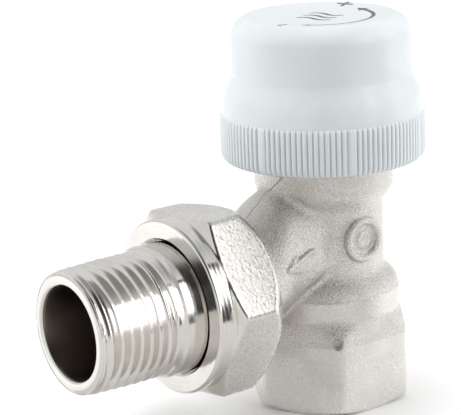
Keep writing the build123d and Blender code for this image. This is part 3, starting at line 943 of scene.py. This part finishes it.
def add_print(crown_z):
    """Thin printed marks on the crown: minus, plus, a two-headed turning arrow and a plain heat sign."""
    strokes = []
    turn = math.radians(22)

    def polar(radius, degrees):
        angle = math.radians(degrees)
        return np.array([radius * math.cos(angle), radius * math.sin(angle)])

    def bar(centre, length, degrees, width):
        way = polar(length / 2, degrees)
        strokes.append(ribbon([centre + way * share for share in np.linspace(-1, 1, 9)], [width] * 9))

    bar(polar(11, -163), 2.6, 22, 0.55)
    bar(polar(11, 27), 3.0, 22, 0.55)
    bar(polar(11, 27), 3.0, 112, 0.55)
    sweep = np.radians(np.linspace(-140, -6, 40))
    curve = PRINT_RING_R * np.stack([np.cos(sweep), np.sin(sweep)], 1)
    strokes.append(ribbon(curve, np.linspace(0.35, 0.75, 40)))
    for end, forward, size in ((-140, -1, 1.5), (-6, 1, 2.0)):
        point = polar(PRINT_RING_R, end)
        way = polar(1, end + 90) * forward
        side = polar(1, end)
        strokes.append(np.array([point + way * size, point + side * size * 0.5, point - side * size * 0.5]))
    for wave in (-1, 0, 1):
        steps = np.linspace(-1, 1, 24)
        x, y = wave * 2.3 + 0.65 * np.sin(steps * math.pi), steps * 3.2
        turned_x = x * math.cos(turn) - y * math.sin(turn)
        turned_y = x * math.sin(turn) + y * math.cos(turn)
        strokes.append(ribbon(np.stack([turned_x, turned_y], 1), 0.25 + 0.5 * np.cos(steps * 1.35)))
    points, faces = [], []
    for outline in strokes:
        count, first = len(outline), len(points)
        radius = np.hypot(*outline.T)
        drop = np.interp(radius, *zip(*CROWN_DISH)) + 0.03
        for lift in (-0.03, 0.018):
            points += [(x, y, crown_z - d + lift) for (x, y), d in zip(outline, drop)]
        if count == 3:
            lower = list(range(first, first + count))
            faces += [lower[::-1], [v + count for v in lower]]
        else:
            half = count // 2
            for i in range(half - 1):
                a, b, c, d = first + i, first + i + 1, first + count - 2 - i, first + count - 1 - i
                faces += [[d, c, b, a], [a + count, b + count, c + count, d + count]]
        for i in range(count):
            j = (i + 1) % count
            faces.append([first + i, first + j, first + count + j, first + count + i])
    piece = mesh_object("cap_print", points, faces)
    paint(piece, [printed_ink()])
    install(piece, "cap", None)


def add_spring():
    """The return spring, closed at both ends."""
    low, high = cad_box("return_spring")
    wire_r, turns, sides, steps = 0.45, 6, 12, 40
    coil = high.x - wire_r
    share = np.linspace(0, turns, turns * steps + 1)
    closed = 2.02 * wire_r
    foot, head = low.z + wire_r, high.z - wire_r
    height = np.interp(share, [0, 1, turns - 1, turns], [foot, foot + closed, head - closed, head])
    angle = share * 2 * math.pi
    outward = np.stack([np.cos(angle), np.sin(angle), 0 * angle], 1)
    path = coil * outward + np.outer(height, (0, 0, 1))
    points = []
    for side in range(sides):
        turn = 2 * math.pi * side / sides
        points.append(path + wire_r * (math.cos(turn) * outward + math.sin(turn) * np.array((0, 0, 1.0))))
    points = np.stack(points, 1).reshape(-1, 3)
    faces = [list(range(sides))[::-1], list(range(len(points) - sides, len(points)))]
    for row in range(0, len(points) - sides, sides):
        for i in range(sides):
            j = (i + 1) % sides
            faces.append((row + i, row + j, row + sides + j, row + sides + i))
    piece = mesh_object("return_spring_coil", points, faces)
    smooth(piece, 50)
    paint(piece, [drawn_steel()])
    install(piece, "root", "return_spring")
    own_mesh(piece)


def drawn_steel():
    """Stainless steel wire and bar."""
    made = bpy.data.materials.get("drawn_steel")
    if made:
        return made
    bright, dull = (0.66, 0.66, 0.66), (0.40, 0.40, 0.41)
    return turned_metal("drawn_steel", bright, dull, (0.20, 0.30), None, 3600.0, 0.004)


def finish_inner_parts():
    """Gives the headwork, spindle, plug and seals, which keep their CAD shapes, the finish of their slots."""
    finishes = {
        "raw_brass": turned_metal("turned_brass", (0.72, 0.55, 0.27), (0.42, 0.29, 0.12), (0.24, 0.36)),
        "stainless": drawn_steel(),
        "seal_rubber": moulded_rubber(),
        "nickel_turned": bpy.data.materials.get("turned_nickel") or turned_nickel(),
    }
    for part in frame["record"]["subparts"]:
        node = frame["nodes"][part["node"]]
        if node.hide_render:
            continue
        material = finishes[part["material_slot"]]
        if not node.data.materials:
            node.data.materials.append(material)
        for index in range(len(node.data.materials)):
            node.data.materials[index] = material


# ---- stage


def stage_material(name, colour, roughness):
    """A plain matt surface for the stage, very slightly uneven."""
    material, tree, shader, point = new_material(name, Roughness=roughness)
    cloud = place_effect(tree, "Cloudy tone", point, 3.0)
    dimmer = tuple(c * 0.995 for c in colour)
    tree.links.new(blend_colours(tree, cloud["Cloud"], colour, dimmer), shader.inputs["Base Color"])
    return material


def flat_card(name, corners, material):
    """A flat panel of the stage, with its corners in millimetres."""
    mesh = bpy.data.meshes.new(name)
    mesh.from_pydata([Vector(c) * MM for c in corners], [], [(0, 1, 2, 3)])
    mesh.materials.append(material)
    card = add_object(name, mesh)
    return card


def reflection_card(name, corners, material):
    """A card that only shows in reflections."""
    card = flat_card(name, corners, material)
    card.visible_camera = card.visible_shadow = card.visible_diffuse = False
    return card


def aim(thing, centre, towards):
    """Moves something to a place and turns its -Z towards a point."""
    centre, towards = Vector(centre), Vector(towards)
    turn = (towards - centre).to_track_quat("-Z", "Y")
    thing.matrix_world = Matrix.Translation(centre) @ turn.to_matrix().to_4x4()


def soft_light(name, centre, towards, width, height, power):
    """A rectangular softbox."""
    data = bpy.data.lights.new(name, "AREA")
    data.shape = "RECTANGLE"
    data.size, data.size_y = width, height
    data.energy = power
    light = add_object(name, data)
    aim(light, centre, towards)
    return light


def room_light(sizes):
    """A pale room, dimmer overhead, with one dark patch high on the near left."""
    world = bpy.data.worlds.new("pale_room")
    bpy.context.scene.world = world
    world.use_nodes = True
    tree = world.node_tree
    tree.nodes.clear()
    way = tree.nodes.new("ShaderNodeTexCoord").outputs["Generated"]
    spot = wire(tree, "ShaderNodeVectorMath", {"operation": "DOT_PRODUCT"}, i0=way)
    spot.inputs[1].default_value = (-0.45, -0.47, 0.76)
    dark = band(tree, spot.outputs["Value"], 0.72, 0.97)
    split = wire(tree, "ShaderNodeSeparateXYZ", None, Vector=way)
    dark = sums(tree, "MAXIMUM", dark, band(tree, split.outputs[2], 0.72, 0.95, 0.0, 0.6))
    tone = blend_colours(tree, dark, (0.84, 0.84, 0.84), (0.04, 0.04, 0.04))
    shine = wire(tree, "ShaderNodeBackground", None, Color=tone, Strength=sizes.sky)
    output = tree.nodes.new("ShaderNodeOutputWorld")
    tree.links.new(shine.outputs[0], output.inputs[0])


def add_camera(sizes):
    """The camera, at the valve's front left and a little above."""
    right = Vector((0.7986, -0.6008, -0.0354)).normalized()
    back = Vector((-0.5714, -0.7754, 0.2689)).normalized()
    up = back.cross(right).normalized()
    right = up.cross(back)
    data = bpy.data.cameras.new("camera")
    data.lens = sizes.focal_length
    data.sensor_width = 36
    data.clip_start, data.clip_end = 0.01, 20
    camera = add_object("camera", data)
    turn = Matrix((right, up, back)).transposed().to_4x4()
    camera.matrix_world = Matrix.Translation((-0.1959, -0.2385, 0.1201)) @ turn
    bpy.context.scene.camera = camera


def add_stage():
    """Floor, room, softboxes, reflection cards and camera."""
    sizes = bpy.context.scene.valve_stage
    bpy.context.scene.view_settings.view_transform = "Standard"
    middle = (CAD_BOX[0] + CAD_BOX[1]) / 2
    white = stage_material("floor_white", tuple(sizes.floor_colour), 0.8)
    black = stage_material("card_dark", (0.012, 0.011, 0.010), 0.9)
    corners = [(-4000, -4000, 0), (4000, -4000, 0), (4000, 4000, 0), (-4000, 4000, 0)]
    floor = flat_card("floor", corners, white)
    floor.matrix_world = Matrix.Translation((0, 0, CAD_BOX[0].z))
    soft_light("light_right", (0.38, -0.45, 0.29), middle, 0.60, 0.54, sizes.key_power)
    soft_light("light_left", (-0.54, 0.27, 0.22), middle, 0.30, 0.40, sizes.fill_power).visible_glossy = False
    soft_light("light_strip", (0.33, -0.28, 0.43), middle, 0.34, 0.012, 0.012 * sizes.key_power)
    broad = bpy.data.lights.new("light_broad", "SUN")
    broad.energy = sizes.broad_power
    broad.angle = math.radians(40)
    lamp = add_object("light_broad", broad)
    aim(lamp, (-0.05, 0.05, 0.9), middle)
    lamp.visible_glossy = False
    corners = [(10, -100, 0), (70, -100, 0), (190, -100, 210), (84, -100, 210)]
    reflection_card("card_side", corners, black)
    corners = [(-330, -330, 0), (-190, -420, 0), (-190, -420, 260), (-330, -330, 260)]
    reflection_card("card_near", corners, black)
    grey = stage_material("card_grey", (0.60, 0.59, 0.58), 0.8)
    corners = [(229, -194, 0.2), (-253, 162, 0.2), (-490, -160, 0.2), (-8, -516, 0.2)]
    reflection_card("card_front", corners, grey).visible_diffuse = True
    room_light(sizes)
    add_camera(sizes)


# ---- add-on


class VALVE_OT_stage(bpy.types.Operator):
    """Add the floor, lights, reflection cards and camera"""

    bl_idname = "valve.add_stage"
    bl_label = "Stage"

    def execute(self, context):
        add_stage()
        return {"FINISHED"}


class VALVE_OT_body(bpy.types.Operator):
    """Add the forged body"""

    bl_idname = "valve.add_body"
    bl_label = "Forged body"

    def execute(self, context):
        add_body()
        return {"FINISHED"}


class VALVE_OT_nut(bpy.types.Operator):
    """Add the union nut"""

    bl_idname = "valve.add_nut"
    bl_label = "Union nut"

    def execute(self, context):
        add_nut()
        return {"FINISHED"}


class VALVE_OT_tail(bpy.types.Operator):
    """Add the tailpiece"""

    bl_idname = "valve.add_tail"
    bl_label = "Tailpiece"

    def execute(self, context):
        add_tail()
        return {"FINISHED"}


class VALVE_OT_cap(bpy.types.Operator):
    """Add the cap and its printed marks"""

    bl_idname = "valve.add_cap"
    bl_label = "Cap"

    def execute(self, context):
        add_cap()
        return {"FINISHED"}


class VALVE_OT_spring(bpy.types.Operator):
    """Add the return spring"""

    bl_idname = "valve.add_spring"
    bl_label = "Return spring"

    def execute(self, context):
        add_spring()
        return {"FINISHED"}


class VALVE_OT_inner(bpy.types.Operator):
    """Finish the headwork, spindle, plug and seals"""

    bl_idname = "valve.finish_inner"
    bl_label = "Inner parts"

    def execute(self, context):
        finish_inner_parts()
        return {"FINISHED"}


class VALVE_PT_pieces(bpy.types.Panel):
    """Lists the valve's pieces and the stage"""

    bl_idname = "VALVE_PT_pieces"
    bl_label = "Radiator valve"
    bl_space_type = "VIEW_3D"
    bl_region_type = "UI"
    bl_category = "Valve"

    def draw(self, context):
        column = self.layout.column()
        for operator in OPERATORS:
            column.operator(operator.bl_idname)
        for name, group in SETTINGS.items():
            box = self.layout.box()
            for field in group.__annotations__:
                box.prop(getattr(context.scene, name), field)


OPERATORS = (
    VALVE_OT_stage,
    VALVE_OT_body,
    VALVE_OT_nut,
    VALVE_OT_tail,
    VALVE_OT_cap,
    VALVE_OT_spring,
    VALVE_OT_inner,
)
SETTINGS = {
    "valve_forging": ForgingSettings,
    "valve_threads": ThreadSettings,
    "valve_cap": CapSettings,
    "valve_stage": StageSettings,
}


def register():
    """Adds the settings, operators and panel to Blender."""
    for name, group in SETTINGS.items():
        bpy.utils.register_class(group)
        setattr(bpy.types.Scene, name, bpy.props.PointerProperty(type=group))
    for operator in OPERATORS:
        bpy.utils.register_class(operator)
    bpy.utils.register_class(VALVE_PT_pieces)


def unregister():
    """Takes the settings, operators and panel out again."""
    bpy.utils.unregister_class(VALVE_PT_pieces)
    for operator in reversed(OPERATORS):
        bpy.utils.unregister_class(operator)
    for name, group in SETTINGS.items():
        delattr(bpy.types.Scene, name)
        bpy.utils.unregister_class(group)


def main():
    """Builds the stage and every piece."""
    register()
    bpy.ops.valve.add_stage()
    bpy.ops.valve.add_body()
    bpy.ops.valve.add_nut()
    bpy.ops.valve.add_tail()
    bpy.ops.valve.add_cap()
    bpy.ops.valve.add_spring()
    bpy.ops.valve.finish_inner()


if __name__ == "__main__":
    main()
